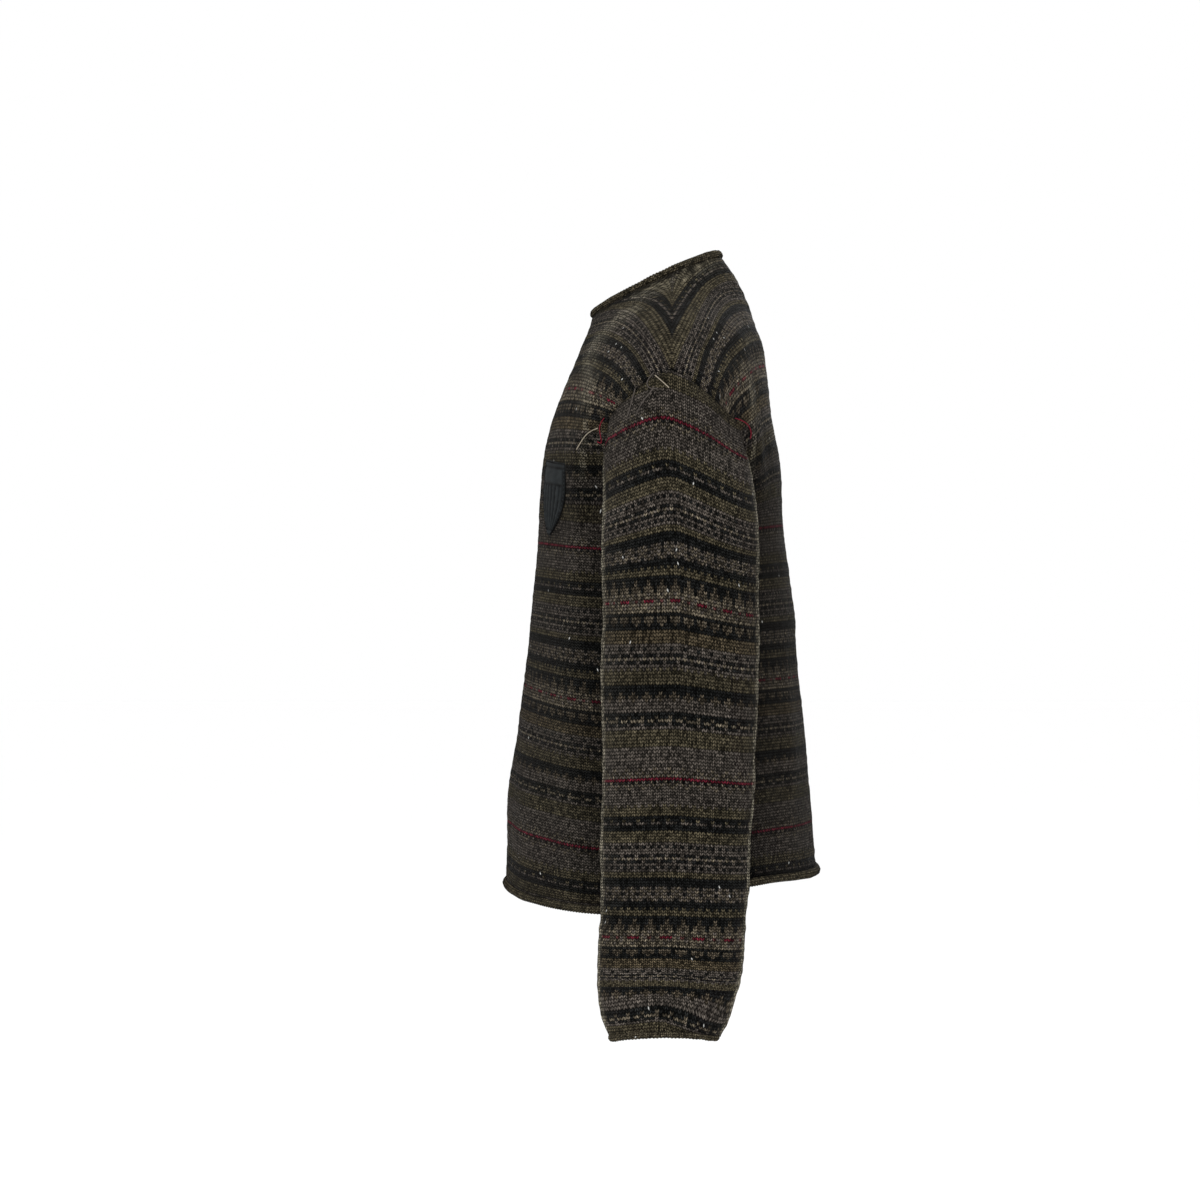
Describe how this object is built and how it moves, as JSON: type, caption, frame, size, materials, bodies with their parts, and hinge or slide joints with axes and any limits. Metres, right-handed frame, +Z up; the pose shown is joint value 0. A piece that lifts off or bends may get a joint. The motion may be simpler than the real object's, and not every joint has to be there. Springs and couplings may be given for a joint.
{
  "type": "fair isle sweater",
  "caption": "Worn fair isle sweater with dropped shoulders, rolled edges, hanging sleeves and a chest patch, open at neck, hem and cuffs.",
  "frame": {"origin": "between the shoulders, in the plane of the shoulder seams, at the level where the neck's rolled edge crosses them; the wearer's shoulders hold the sweater there", "axes": "+Z up along the standing wearer, -Y the way the wearer faces, +X towards the wearer's left"},
  "size_m": [0.5992, 0.3042, 0.7348],
  "materials": {
    "knit": "marled wool knit in olive, grey and black bands with thin dark red lines",
    "rolled_knit": "rolled olive brown stocking stitch",
    "patch_leather": "dark slate leather-like patch with a stitched edge"
  },
  "bodies": {
    "root": {"front": "knit", "back": "knit", "sleeve_left": "knit", "sleeve_right": "knit", "neck_roll": "rolled_knit", "hem_roll": "rolled_knit", "cuff_roll_left": "rolled_knit", "cuff_roll_right": "rolled_knit", "chest_patch": "patch_leather"}
  },
  "joints": []
}
